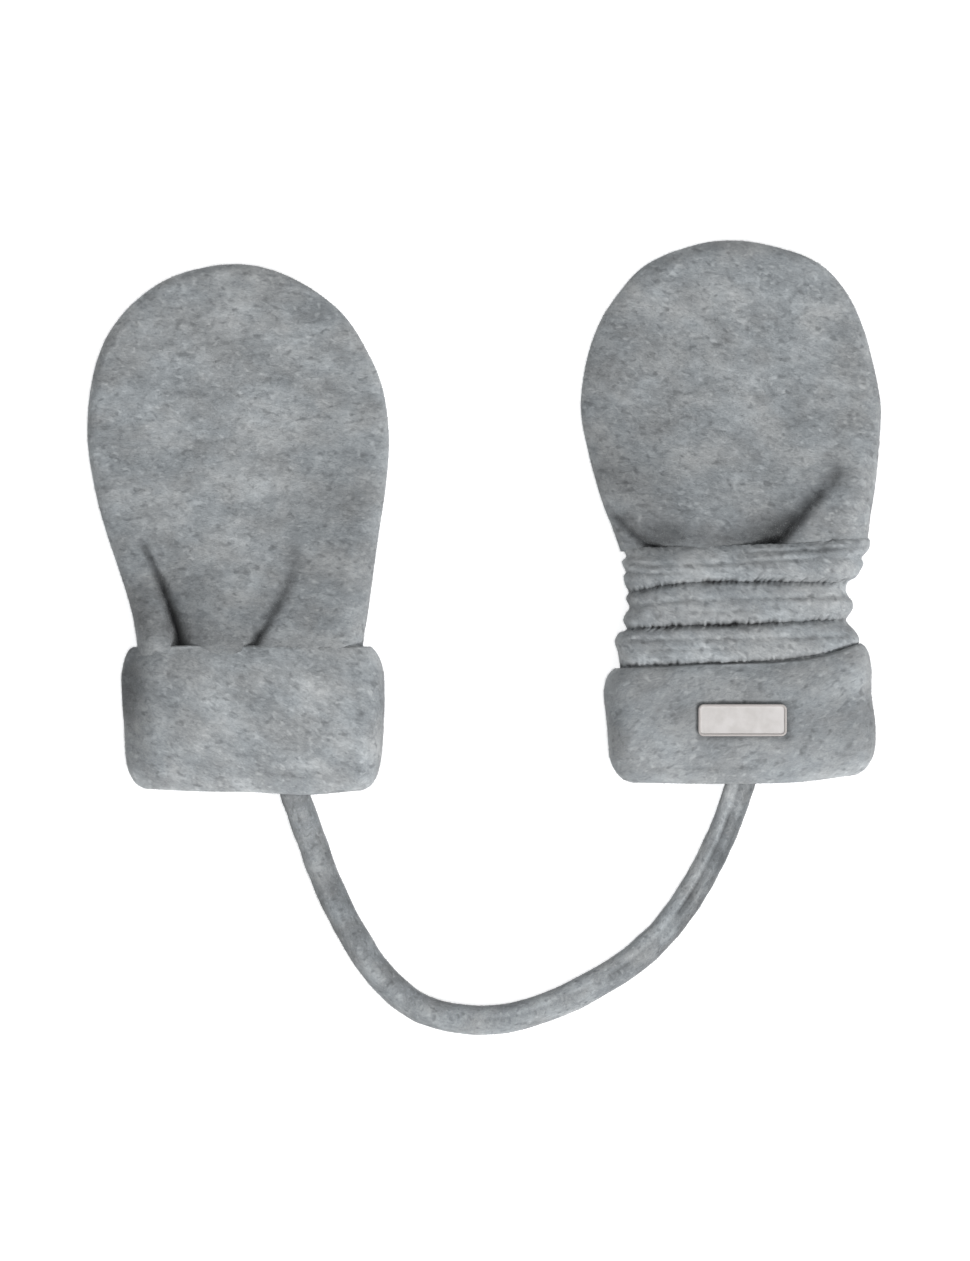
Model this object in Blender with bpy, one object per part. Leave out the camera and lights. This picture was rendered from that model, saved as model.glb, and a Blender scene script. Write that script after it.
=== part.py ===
# Pair of thumbless baby mittens joined by a cord, laid flat.
# +X runs from the left mitten to the right one, +Y to the fingertips, +Z up.
# The origin lies on the surface, under the middle of the two mittens.
# Lengths below are in millimetres, and MM turns them into metres.

import bmesh
import bpy
import numpy as np

MM = 0.001

# One layer of fleece, the gap between sewn pieces, and the gap between layers.
WALL = 2.4
SEAM_GAP = 0.3
LAYER_GAP = 0.4

# Height of the cuffs, which stack two layers of cloth above and below the hand.
CUFF_HEIGHT = 15.6
MIDDLE = CUFF_HEIGHT / 2
UNDER_CUFF = WALL + LAYER_GAP
INSIDE_CUFF = CUFF_HEIGHT - UNDER_CUFF

# How far the cloth rounds over at the fingertips and along the underside's rim, how
# much the top sinks from its middle to its sides, and the upright edge at a side seam.
TIP_EDGE = 4.0
UNDER_EDGE = 5.0
PILLOW = 0.3
SEAM_EDGE = 0.6
TIP_BOW = 0.5

# Columns of the hand rows: the two ends of the row seen from above, the heights of the
# underside, the side seam and the middle of the top, and how far in from its sides the
# top rounds over.
LEFT_X, LEFT_Y, RIGHT_X, RIGHT_Y, UNDER, SEAM, CROWN, EDGE = range(8)

# left x, left y, right x, right y, under, seam, crown, edge; from the cuff to the tip
LEFT_HAND = [
    (-93.0, -40.9, -32.0, -40.9, UNDER_CUFF, MIDDLE, INSIDE_CUFF, 6.0),
    (-93.4, -35.0, -32.7, -35.0, UNDER_CUFF, MIDDLE, INSIDE_CUFF, 7.0),
    (-95.0, -25.7, -31.3, -25.7, 1.0, 6.4, 11.6, 9.0),
    (-98.0, -15.9, -30.0, -15.9, 0.0, 4.8, 9.6, 9.0),
    (-102.2, -3.5, -28.3, -3.5, 0.0, 3.6, 7.6, 7.0),
    (-105.4, 8.8, -26.5, 8.8, 0.0, 2.9, 6.2, 5.0),
    (-107.2, 22.1, -25.7, 22.1, 0.0, 2.6, 5.7, 4.0),
    (-106.2, 35.5, -27.6, 35.5, 0.0, 2.6, 5.6, 4.0),
    (-103.1, 46.4, -32.4, 46.4, 0.0, 2.6, 5.6, 4.0),
    (-98.0, 54.5, -37.8, 54.5, 0.0, 2.6, 5.6, 4.0),
    (-92.0, 60.3, -44.5, 60.3, 0.0, 2.6, 5.5, 4.0),
    (-86.1, 64.1, -50.8, 64.1, 0.0, 2.6, 5.5, 4.0),
    (-80.2, 66.4, -56.0, 66.4, 0.0, 2.6, 5.5, 4.0),
    (-73.8, 67.9, -61.3, 67.9, 0.0, 2.6, 5.5, 4.0),
]

# The right hand ends at its wrist seam, and puffs up just before it.
RIGHT_HAND = [
    (36.6, -8.0, 103.4, -4.8, 0.0, 6.2, 10.0, 7.0),
    (34.8, -3.2, 104.2, 0.0, 0.0, 5.8, 12.0, 9.0),
    (32.0, 4.0, 105.4, 7.0, 0.0, 4.8, 11.0, 10.0),
    (28.6, 16.0, 106.6, 18.0, 0.0, 3.4, 7.8, 7.0),
    (26.2, 29.0, 107.2, 30.0, 0.0, 2.7, 6.0, 4.5),
    (27.6, 41.8, 105.0, 42.2, 0.0, 2.6, 5.6, 4.0),
    (31.2, 52.5, 101.9, 52.7, 0.0, 2.6, 5.6, 4.0),
    (36.4, 60.6, 97.9, 60.8, 0.0, 2.6, 5.6, 4.0),
    (42.0, 66.9, 92.6, 67.0, 0.0, 2.6, 5.5, 4.0),
    (48.2, 70.6, 86.6, 70.6, 0.0, 2.6, 5.5, 4.0),
    (54.3, 72.8, 79.8, 72.8, 0.0, 2.6, 5.5, 4.0),
    (60.0, 74.3, 73.2, 74.3, 0.0, 2.6, 5.5, 4.0),
]

# Pleats drawn into the cloth: three points x, y of the pleat's line, its depth at the
# end, how late it deepens, and its width on the left and right of the line.
LEFT_PLEATS = [
    (-92.9, -4.0, -87.8, -20.0, -80.0, -41.0, 3.0, 0.8, 2.0, 1.8),
    (-50.2, -4.0, -55.8, -20.0, -64.0, -41.0, 2.7, 1.3, 2.6, 3.0),
]
RIGHT_PLEATS = [
    (32.6, 6.0, 38.9, -2.0, 45.6, -8.4, 3.0, 0.8, 1.7, 2.8),
    (98.6, 21.0, 89.0, 4.0, 76.6, -7.4, 3.4, 0.7, 4.6, 2.0),
]
# The cloth is gathered less on the palm: this share of each pleat's depth shows there.
PALM_PLEAT_SHARE = 0.35

# Columns within this reach of a pleat move this share of the way to it. The pull fades
# over this share of the pleat's length past its ends, and towards the panel's sides.
PLEAT_REACH = 6.0
PLEAT_PULL = 0.5
PLEAT_FADE = 0.25
SIDE_POWER = 4

# Cuffs: x of the left and right sides at the hem and at the fold, and five heights y
# along the hem and along the fold, evenly from the left side to the right one.
LEFT_CUFF = {
    "hem_x": (-98.1, -26.9),
    "fold_x": (-97.0, -27.4),
    "hem_y": (-35.4, -35.4, -35.4, -35.4, -35.4),
    "fold_y": (-73.5, -74.1, -74.5, -74.8, -74.0),
}
RIGHT_CUFF = {
    "hem_x": (31.8, 104.9),
    "fold_x": (34.2, 105.4),
    "hem_y": (-40.8, -40.0, -39.5, -38.2, -34.6),
    "fold_y": (-71.6, -71.9, -71.9, -71.5, -69.6),
}
CUFF_EDGE = 7.0
CUFF_DEPTH = 39.0

# How far the cuff laps over the hand or wrist that is sewn to its inner layer.
CUFF_OVERLAP = 6.0

# The cuff's section along its length: distance from the hem, inset from the outer
# face, and how much further the two sides come in. It runs down the outer face, round
# the fold, up the inner layer, and back between the two layers.
CUFF_SECTION = [
    (0.0, 1.2, 2.2),
    (0.5, 0.3, 1.5),
    (1.6, 0.0, 1.0),
    (4.0, 0.0, 0.2),
    (14.0, 0.0, 0.0),
    (26.0, 0.0, 0.0),
    (34.0, 0.0, 0.2),
    (36.6, 0.1, 0.8),
    (38.4, 1.0, 2.0),
    (39.0, 2.6, 3.0),
    (38.4, 4.2, 3.0),
    (36.6, WALL + UNDER_CUFF, 1.6),
    (32.0, WALL + UNDER_CUFF, 0.4),
    (18.0, WALL + UNDER_CUFF, 0.6),
    (CUFF_OVERLAP, WALL + UNDER_CUFF, 2.0),
    (CUFF_OVERLAP, UNDER_CUFF, 2.0),
    (18.0, UNDER_CUFF, 0.6),
    (32.0, UNDER_CUFF, 0.4),
    (35.2, UNDER_CUFF, 1.6),
    (36.2, WALL + LAYER_GAP / 2, 2.0),
    (35.2, WALL, 1.4),
    (14.0, WALL, 0.0),
    (4.0, WALL, 0.2),
    (1.6, WALL, 1.0),
    (0.5, WALL - 0.3, 1.5),
]

# The right wrist from its seam with the hand to its end inside the cuff, at even
# steps. The heights are those of the valleys between folds.
# left x, right x, under, seam, crown, edge
WRIST = [
    (37.2, 103.4, 0.0, 6.2, 10.2, 7.0),
    (38.3, 101.2, 0.0, 6.4, 10.8, 7.0),
    (38.7, 98.4, 0.4, 6.8, 11.2, 7.0),
    (38.4, 98.0, 1.8, 7.2, 11.8, 7.0),
    (37.2, 99.6, UNDER_CUFF, MIDDLE, 12.4, 6.5),
    (36.9, 99.9, UNDER_CUFF, MIDDLE, INSIDE_CUFF, 6.0),
]
# Each fold: where it starts and ends, as shares of the wrist's length, how high it
# rises, how deep its middle groove is, where the groove lies, and how far the fold
# stands out on the left side and on the right side.
WRIST_FOLDS = [
    (0.00, 0.34, 1.7, 0.5, 0.46, 0.4, 1.4),
    (0.34, 0.61, 1.8, 0.4, 0.36, 0.3, 1.2),
    (0.61, 0.85, 1.9, 0.4, 0.34, 2.0, 1.2),
]
FOLD_STEPS = (0.0, 0.07, 0.2, 0.34, 0.44, 0.56, 0.74, 0.92)
GROOVE_WIDTH = 0.09

# The underside's valleys lie this much higher than its folds, and the wrist's plain
# inner face lies this far inside the valleys.
VALLEY_LIFT = 0.7
WRIST_INSET = 1.7
WRIST_SAMPLES = 8
WRIST_INNER_RINGS = 5

# Cord: a flattened tube, with the points of its route chosen one by one (x, y, z).
CORD_WIDTH = 7.8
CORD_THICKNESS = 4.4
CORD_STEP = 10.0
CORD_SAMPLES = 12
CORD_ROUNDING = 3
CORD_ROUTE = [
    (-53.6, -66.8, 7.8),
    (-51.8, -72.0, 7.9),
    (-50.2, -77.2, 7.5),
    (-47.9, -83.8, 5.0),
    (-45.4, -90.8, 2.8),
    (-42.6, -98.3, 2.2),
    (-39.3, -105.6, 2.2),
    (-34.6, -114.2, 2.2),
    (-28.4, -123.4, 2.2),
    (-18.0, -132.2, 2.2),
    (-6.5, -135.6, 2.2),
    (4.6, -135.6, 2.2),
    (15.6, -132.8, 2.2),
    (27.0, -127.8, 2.2),
    (38.6, -120.8, 2.2),
    (47.6, -112.8, 2.2),
    (54.8, -103.6, 2.2),
    (60.0, -94.8, 2.2),
    (63.9, -86.6, 3.1),
    (66.8, -79.0, 5.6),
    (68.6, -73.6, 7.6),
    (70.0, -69.2, 7.9),
    (71.6, -64.2, 7.8),
]

# Label on the right cuff: a flat plate with rounded corners and a raised rim.
LABEL_CENTRE = (69.7, -54.9)
LABEL_SIZE = (24.3, 8.6)
LABEL_CORNER = 1.5
LABEL_CORNER_POINTS = 5
LABEL_THICKNESS = 0.9
LABEL_RIM = 0.7
LABEL_BEVEL = 0.3
LABEL_RECESS = 0.25

# How finely the pieces are cut into faces.
ROW_STEPS = 2
BACK_COLUMNS = 26
PALM_COLUMNS = 16
RING_TOP_COLUMNS = 18
RING_UNDER_COLUMNS = 14

FLEECE_GREY = (0.30, 0.315, 0.325, 1.0)
FLEECE_ROUGHNESS = 0.95
LABEL_GREY = (0.69, 0.66, 0.64, 1.0)
LABEL_ROUGHNESS = 0.7


def smooth(rows, steps):
    """A Catmull-Rom curve through the rows, with steps samples to each interval."""
    rows = np.array(rows, float)
    ends = np.vstack([2 * rows[0] - rows[1], rows, 2 * rows[-1] - rows[-2]])
    line = []
    for a, b, c, d in zip(ends, ends[1:], ends[2:], ends[3:]):
        for t in np.arange(steps) / steps:
            line.append(
                b
                + t * (c - a) / 2
                + t**2 * (2 * a - 5 * b + 4 * c - d) / 2
                + t**3 * (3 * b - a - 3 * c + d) / 2
            )
    return np.array(line + [rows[-1]])


def hand_rows(table):
    """The smoothed rows of a hand, none of them below the surface."""
    rows = smooth(table, ROW_STEPS)
    rows[:, UNDER] = np.maximum(rows[:, UNDER], 0)
    return rows


def across(count):
    """Places from -1 to 1 across a row, closer together at its two ends."""
    return -np.cos(np.pi * np.arange(count + 1) / count)


def quarter(share):
    """The height of a quarter circle, from 0 at its rim to 1 inside it."""
    return np.sqrt(1 - (1 - np.clip(share, 0, 1)) ** 2)


def top_height(u, half, seam, crown, edge):
    """The top's height across a row, rounding down to the seam at its sides."""
    return seam + (crown - PILLOW * u**2 - seam) * quarter((1 - np.abs(u)) * half / edge)


def under_height(u, half, seam, under):
    """The underside's height across a row, flat but for its rounded rim."""
    return seam - (seam - under) * quarter((1 - np.abs(u)) * half / UNDER_EDGE)


def pleat_weights(pleat, x, y):
    """The signed distance to a pleat's line, and the share of its length passed."""
    start_x, start_y, bend_x, bend_y, end_x, end_y = pleat[:6]
    line = np.polyfit((start_y, bend_y, end_y), (start_x, bend_x, end_x), 2)
    run = (start_y - y) / (start_y - end_y)
    return x - np.polyval(line, np.clip(y, end_y, start_y)), run


def pleat_depth(pleats, x, y):
    """How far the pleats draw the cloth in at each place."""
    depth = np.zeros_like(x)
    for pleat in pleats:
        away, run = pleat_weights(pleat, x, y)
        deepest, growth, left_width, right_width = pleat[6:]
        width = np.where(away < 0, left_width, right_width)
        strength = deepest * np.clip(run, 0, 1) ** growth
        depth = np.maximum(depth, strength * np.exp(-((away / width) ** 2)))
    return depth


def pull_to_pleats(pleats, x, y, u):
    """Moves columns nearer to the pleats, so that they are cut finely enough."""
    for pleat in pleats:
        away, run = pleat_weights(pleat, x, y)
        before = np.clip(1 + run / PLEAT_FADE, 0, 1)
        after = np.clip(1 + (1 - run) / PLEAT_FADE, 0, 1)
        near = np.exp(-((away / PLEAT_REACH) ** 2)) * (1 - u**SIDE_POWER)
        x = x - PLEAT_PULL * before * after * near * away
    return x


def hand_grid(rows, columns, pleats):
    """The places, seen from above, of a hand panel's rows and columns."""
    u = across(columns)[None, :]
    left = rows[:, [LEFT_X, LEFT_Y]][:, None, :]
    right = rows[:, [RIGHT_X, RIGHT_Y]][:, None, :]
    place = left + (right - left) * (u[..., None] + 1) / 2
    x = pull_to_pleats(pleats, place[..., 0], place[..., 1], u)
    half = (right[..., 0] - left[..., 0]) / 2
    u = (x - left[..., 0]) / half - 1
    from_tip = np.clip(rows[-1, LEFT_Y] - place[..., 1], 0, None)
    bow = TIP_BOW * np.exp(-from_tip) * (1 - u**2)
    return x, place[..., 1] + bow, u, half, from_tip


def hand_panel(rows, columns, pleats, back):
    """Outer and inner points of the back (or the palm) of a hand.

    The two panels lie on each other, and the height of the side seam parts them.
    """
    x, y, u, half, from_tip = hand_grid(rows, columns, pleats)
    under, seam, crown, edge = rows[:, [UNDER, SEAM, CROWN, EDGE]].T[..., None]
    drawn = pleat_depth(pleats, x, y)
    if back:
        rim = seam + SEAM_GAP / 2
        full = top_height(u, half, rim + SEAM_EDGE, crown, edge) - rim - SEAM_EDGE
        outer = rim + SEAM_EDGE + full * quarter(from_tip / TIP_EDGE)
        outer = np.maximum(outer - drawn, rim + SEAM_EDGE)
        inner = np.maximum(outer - WALL, rim)
    else:
        rim = seam - SEAM_GAP / 2
        full = rim - SEAM_EDGE - under_height(u, half, rim - SEAM_EDGE, under)
        outer = rim - SEAM_EDGE - full * quarter(from_tip / TIP_EDGE)
        outer = np.minimum(outer + PALM_PLEAT_SHARE * drawn, rim - SEAM_EDGE)
        inner = np.minimum(outer + WALL, rim)
    return np.stack([x, y, outer], axis=-1), np.stack([x, y, inner], axis=-1)


def ring_columns():
    """Places across a ring: over its top from left to right, then back underneath."""
    top = across(RING_TOP_COLUMNS)
    under = -across(RING_UNDER_COLUMNS)[1:-1]
    over = np.concatenate([np.ones(len(top)), np.zeros(len(under))])
    return np.concatenate([top, under]), over.astype(bool)


def ring(row, inset=0.0, side_inset=0.0):
    """One closed ring round a tube of cloth, inset from its outer face."""
    u, over = ring_columns()
    left = row[[LEFT_X, LEFT_Y]]
    right = row[[RIGHT_X, RIGHT_Y]]
    length = np.linalg.norm(right - left) / 2
    place = (left + right) / 2 + np.outer(
        u * (length - inset - side_inset) / length, (right - left) / 2
    )
    top = top_height(u, length, row[SEAM], row[CROWN] - inset, row[EDGE])
    under = under_height(u, length, row[SEAM], row[UNDER] + inset)
    return np.column_stack([place, np.where(over, top, under)])


def cuff_line(cuff, u, distance):
    """The heights y of a cuff's line at a distance from its hem."""
    share = np.linspace(-1, 1, len(cuff["hem_y"]))
    hem = np.interp(u, share, cuff["hem_y"])
    fold = np.interp(u, share, cuff["fold_y"])
    return hem + (fold - hem) * distance / CUFF_DEPTH


def cuff_rings(cuff):
    """The rings of a turned-up cuff, one for each row of its section."""
    u, _ = ring_columns()
    rings = []
    for distance, inset, side_inset in CUFF_SECTION:
        down = distance / CUFF_DEPTH
        sides = np.array(cuff["hem_x"]) * (1 - down) + np.array(cuff["fold_x"]) * down
        row = np.array([sides[0], 0, sides[1], 0, 0, MIDDLE, CUFF_HEIGHT, CUFF_EDGE])
        points = ring(row, inset, side_inset)
        points[:, 1] = cuff_line(cuff, u, distance)
        rings.append(points)
    return rings


def fold_at(share):
    """How far a fold stands above the wrist's valleys, and out on its two sides."""
    for start, end, rise, groove, groove_at, left, right in WRIST_FOLDS:
        if start <= share < end:
            inside = (share - start) / (end - start)
            roll = np.sqrt(np.sin(np.pi * inside))
            dip = groove * np.exp(-(((inside - groove_at) / GROOVE_WIDTH) ** 2))
            return max(rise * roll - dip, 0.0), left * roll, right * roll
    return 0.0, 0.0, 0.0


def wrist_ring(share, inset=0.0, folds=(0.0, 0.0, 0.0)):
    """The wrist's ring at a share of its length, between its seam and the cuff."""
    fine = smooth(WRIST, WRIST_SAMPLES)
    at = np.linspace(0, 1, len(fine))
    left, right, under, seam, crown, edge = [
        np.interp(share, at, column) for column in fine.T
    ]
    rise, wider_left, wider_right = folds
    if share < WRIST_FOLDS[-1][1]:
        tallest = max(fold[2] for fold in WRIST_FOLDS)
        under += VALLEY_LIFT * (1 - rise / tallest)
    sides = left - wider_left, right + wider_right
    row = np.array([sides[0], 0, sides[1], 0, under, seam, crown + rise, edge])
    points = ring(row, inset)
    u, _ = ring_columns()
    seam_left, seam_right = RIGHT_HAND[0][LEFT_Y], RIGHT_HAND[0][RIGHT_Y]
    first = (seam_left + seam_right) / 2 + u * (seam_right - seam_left) / 2 - SEAM_GAP
    last = cuff_line(RIGHT_CUFF, u, CUFF_OVERLAP) + SEAM_GAP
    points[:, 1] = first + (last - first) * share
    return points


def wrist_rings():
    """The folded outer face of the wrist, then back along its plain inner face."""
    shares = [
        start + (end - start) * step
        for start, end, *_ in WRIST_FOLDS
        for step in FOLD_STEPS
    ]
    shares += [WRIST_FOLDS[-1][1], 1.0]
    outer = [wrist_ring(share, folds=fold_at(share)) for share in shares]
    back = np.linspace(1, 0, WRIST_INNER_RINGS)
    return outer + [wrist_ring(share, WRIST_INSET) for share in back]


def finish(name, bm, material):
    """Turns a bmesh into a smooth-shaded object with outward faces."""
    bmesh.ops.recalc_face_normals(bm, faces=bm.faces)
    mesh = bpy.data.meshes.new(name)
    bm.to_mesh(mesh)
    bm.free()
    mesh.shade_smooth()
    mesh.materials.append(material)
    made = bpy.data.objects.new(name, mesh)
    bpy.context.scene.collection.objects.link(made)
    return made


def add_grid(bm, points):
    """Adds the vertices of a grid of points, and the faces between them."""
    vertices = [[bm.verts.new(point * MM) for point in line] for line in points]
    for near, far in zip(vertices, vertices[1:]):
        for a, b, c, d in zip(near, near[1:], far[1:], far):
            bm.faces.new((a, b, c, d))
    return vertices


def rim_of(grid):
    """The vertices round a grid's edge, in order."""
    left = [line[0] for line in grid]
    right = [line[-1] for line in grid]
    return grid[0][:-1] + right[:-1] + grid[-1][:0:-1] + left[:0:-1]


def close_strip(bm, first, second):
    """Faces between two closed loops of as many vertices."""
    for a, b, c, d in zip(first, first[1:] + first[:1], second[1:] + second[:1], second):
        bm.faces.new((a, b, c, d))


def panel(name, outer, inner, material):
    """A wall of cloth between an outer and an inner grid of points."""
    bm = bmesh.new()
    outside = add_grid(bm, outer)
    inside = add_grid(bm, inner)
    close_strip(bm, rim_of(outside), rim_of(inside))
    return finish(name, bm, material)


def tube(name, rings, material):
    """A wall of cloth whose rings run out along one face and back along the other."""
    bm = bmesh.new()
    loops = [[bm.verts.new(point * MM) for point in points] for points in rings]
    for near, far in zip(loops, loops[1:] + loops[:1]):
        close_strip(bm, near, far)
    return finish(name, bm, material)


def cuff_top(cuff, x):
    """The height of a cuff's outer face at a place across it."""
    left = (cuff["hem_x"][0] + cuff["fold_x"][0]) / 2
    right = (cuff["hem_x"][1] + cuff["fold_x"][1]) / 2
    u = (2 * x - left - right) / (right - left)
    return top_height(u, (right - left) / 2, MIDDLE, CUFF_HEIGHT, CUFF_EDGE)


def label_loop(inset, height):
    """The label's rounded outline on the cuff's face, inset and moved out."""
    corner = LABEL_CORNER
    reach_x = LABEL_SIZE[0] / 2 - corner
    reach_y = LABEL_SIZE[1] / 2 - corner
    radius = corner - inset
    loop = []
    for turn, (side_x, side_y) in enumerate([(1, 1), (-1, 1), (-1, -1), (1, -1)]):
        quarter_turn = np.linspace(0, np.pi / 2, LABEL_CORNER_POINTS)
        for step in quarter_turn + turn * np.pi / 2:
            x = LABEL_CENTRE[0] + side_x * reach_x + radius * np.cos(step)
            y = LABEL_CENTRE[1] + side_y * reach_y + radius * np.sin(step)
            loop.append((x, y, cuff_top(RIGHT_CUFF, x) + SEAM_GAP + height))
    return np.array(loop)


def label(name, material):
    """A thin plate with a raised rim, made from the cuff's points moved out."""
    loops = [
        label_loop(LABEL_RIM, 0.0),
        label_loop(0.0, 0.0),
        label_loop(0.0, LABEL_THICKNESS - LABEL_BEVEL),
        label_loop(LABEL_BEVEL, LABEL_THICKNESS),
        label_loop(LABEL_RIM, LABEL_THICKNESS),
        label_loop(LABEL_RIM + LABEL_BEVEL, LABEL_THICKNESS - LABEL_RECESS),
    ]
    bm = bmesh.new()
    rings = [[bm.verts.new(point * MM) for point in points] for points in loops]
    for near, far in zip(rings, rings[1:]):
        close_strip(bm, near, far)
    bm.faces.new(rings[0])
    bm.faces.new(rings[-1])
    return finish(name, bm, material)


def cord(name, material):
    """A flattened tube along the smooth curve through the route's points."""
    line = smooth(CORD_ROUTE, CORD_SAMPLES)
    steps = np.linalg.norm(np.diff(line, axis=0), axis=1)
    passed = np.concatenate([[0], np.cumsum(steps)])
    count = int(round(passed[-1] / CORD_STEP)) + 1
    even = np.linspace(0, passed[-1], count)
    points = np.column_stack([np.interp(even, passed, axis) for axis in line.T])
    points[:, 2] = np.maximum(points[:, 2], CORD_THICKNESS / 2)

    curve = bpy.data.curves.new(name, "CURVE")
    curve.dimensions = "3D"
    curve.twist_mode = "Z_UP"
    curve.bevel_depth = CORD_THICKNESS / 2 * MM
    curve.extrude = (CORD_WIDTH - CORD_THICKNESS) / 2 * MM
    curve.bevel_resolution = CORD_ROUNDING
    curve.use_fill_caps = True
    spline = curve.splines.new("POLY")
    spline.points.add(count - 1)
    for point, place in zip(spline.points, points):
        point.co = (*place * MM, 1)
        point.tilt = np.pi / 2
    curve.materials.append(material)
    made = bpy.data.objects.new(name, curve)
    bpy.context.scene.collection.objects.link(made)
    return made


def cloth(name, colour, roughness):
    """A plain matt material of one colour."""
    material = bpy.data.materials.new(name)
    material.use_nodes = True
    shader = material.node_tree.nodes["Principled BSDF"]
    shader.inputs["Base Color"].default_value = colour
    shader.inputs["Roughness"].default_value = roughness
    shader.inputs["Metallic"].default_value = 0.0
    return material


def main():
    for old in list(bpy.data.objects):
        bpy.data.objects.remove(old, do_unlink=True)

    fleece = cloth("fleece", FLEECE_GREY, FLEECE_ROUGHNESS)
    woven = cloth("woven_label", LABEL_GREY, LABEL_ROUGHNESS)

    hands = {
        "left": (hand_rows(LEFT_HAND), LEFT_PLEATS),
        "right": (hand_rows(RIGHT_HAND), RIGHT_PLEATS),
    }
    for side, (rows, pleats) in hands.items():
        back = hand_panel(rows, BACK_COLUMNS, pleats, back=True)
        panel(f"{side}_back", *back, fleece)
        palm = hand_panel(rows, PALM_COLUMNS, pleats, back=False)
        panel(f"{side}_palm", *palm, fleece)

    tube("left_cuff", cuff_rings(LEFT_CUFF), fleece)
    tube("right_cuff", cuff_rings(RIGHT_CUFF), fleece)
    tube("right_wrist", wrist_rings(), fleece)
    label("right_label", woven)
    cord("cord", fleece)


main()
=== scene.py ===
import math

import bmesh
import bpy
import numpy as np
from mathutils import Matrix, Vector
from mathutils.bvhtree import BVHTree


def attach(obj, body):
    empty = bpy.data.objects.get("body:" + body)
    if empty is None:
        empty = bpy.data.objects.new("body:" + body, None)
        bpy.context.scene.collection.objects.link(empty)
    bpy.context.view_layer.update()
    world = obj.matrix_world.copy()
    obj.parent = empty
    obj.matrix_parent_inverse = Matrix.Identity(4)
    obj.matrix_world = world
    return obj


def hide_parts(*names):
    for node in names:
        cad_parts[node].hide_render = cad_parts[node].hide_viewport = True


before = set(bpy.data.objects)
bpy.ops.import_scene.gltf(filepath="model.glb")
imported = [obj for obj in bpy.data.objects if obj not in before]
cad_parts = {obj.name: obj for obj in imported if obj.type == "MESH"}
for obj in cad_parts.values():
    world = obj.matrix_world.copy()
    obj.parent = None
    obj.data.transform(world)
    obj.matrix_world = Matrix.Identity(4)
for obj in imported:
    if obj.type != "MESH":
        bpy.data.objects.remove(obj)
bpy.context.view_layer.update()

# Pair of baby mittens joined by a cord, laid flat. Sizes are in millimetres, and mm
# turns them into metres. x runs from the left mitten to the right one, y to the tips.
mm = 0.001

camera = {
    "middle": (0.27, -30.6, 5),  # what the view is centred on
    "tall": 340.5,  # height of the view there
    "away": 2400,
    "sensor": 36,
    "clip": (0.05, 20),  # nearest and furthest seen, in metres
}


def addObject(name, data):
    made = bpy.data.objects.new(name, data)
    bpy.context.scene.collection.objects.link(made)
    return made


def addCamera():
    data = bpy.data.cameras.new("camera")
    data.sensor_width = camera["sensor"]
    data.lens = camera["sensor"] * camera["away"] / camera["tall"]
    data.clip_start, data.clip_end = camera["clip"]
    seen = addObject("camera", data)
    x, y, z = camera["middle"]
    seen.location = (x * mm, y * mm, (z + camera["away"]) * mm)
    bpy.context.scene.camera = seen


addCamera()
print("camera done")


def smoothLine(rows, steps):
    # a curve through every row, with this many steps between two of them
    rows = np.array(rows, float)
    ends = np.vstack([2 * rows[0] - rows[1], rows, 2 * rows[-1] - rows[-2]])
    t = (np.arange(steps) / steps)[:, None]
    parts = []
    for a, b, c, d in zip(ends, ends[1:], ends[2:], ends[3:]):
        bend = t**2 * (2 * a - 5 * b + 4 * c - d) / 2
        parts.append(b + t * (c - a) / 2 + bend + t**3 * (3 * b - a - 3 * c + d) / 2)
    return np.vstack(parts + [rows[-1:]])


def smoothValue(values, share):
    # reads a smooth curve through evenly spaced values, at shares from 0 to 1
    line = smoothLine(np.array(values, float)[:, None], 12)[:, 0]
    return np.interp(share, np.linspace(0, 1, len(line)), line)


def quarter(share):
    # height of a quarter circle, 0 at its rim and 1 inside
    return np.sqrt(1 - (1 - np.clip(share, 0, 1)) ** 2)


def bell(distance, width):
    return np.exp(-((distance / width) ** 2))


def softStep(distance, width):
    # 1 at the start, and 0 from this width on
    near = 1 - np.clip(distance / width, 0, 1)
    return near**2 * (3 - 2 * near)


def overlaid(*shades):
    # how dark it is where several shades lie over each other
    bright = 1
    for shade in shades:
        bright = bright * (1 - shade)
    return 1 - bright


def unit(vectors):
    return vectors / np.linalg.norm(vectors, axis=1)[:, None]


def waves(place, size, seed, count=16):
    # soft random ups and downs of about this size, mostly between -1 and 1
    draw = np.random.default_rng(seed)
    total = np.zeros(place.shape[:-1])
    for _ in range(count):
        way = draw.normal(size=3)
        way *= 2 * np.pi / (np.linalg.norm(way) * size * draw.uniform(0.7, 1.5))
        total += np.sin(place @ way + draw.uniform(0, 2 * np.pi))
    return total / math.sqrt(count)


def waveSum(place, layers, seed, step=1):
    # waves of several sizes and heights, one on top of the other
    return sum(tall * waves(place, size, seed + step * number)
               for number, (size, tall) in enumerate(layers))


def across(count):
    # places from -1 to 1, closer together at both ends
    return -np.cos(np.pi * np.arange(count + 1) / count)


def clothGrid(points, marks, joined=True):
    # a grid of faces moved to the points, whose meeting edges are joined
    rows, columns = points.shape[:2]
    bm = bmesh.new()
    bm.loops.layers.uv.new("UVMap")
    bmesh.ops.create_grid(
        bm, x_segments=columns - 1, y_segments=rows - 1, size=1, calc_uvs=True
    )
    layers = {name: bm.verts.layers.float.new(name) for name in marks}
    for vert, place in zip(bm.verts, points.reshape(-1, 3) * mm):
        vert.co = place
    for name, layer in layers.items():
        for vert, value in zip(bm.verts, marks[name].reshape(-1)):
            vert[layer] = value
    if joined:
        bmesh.ops.remove_doubles(bm, verts=bm.verts, dist=0.001 * mm)
        bmesh.ops.recalc_face_normals(bm, faces=bm.faces)
    return bm


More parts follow.
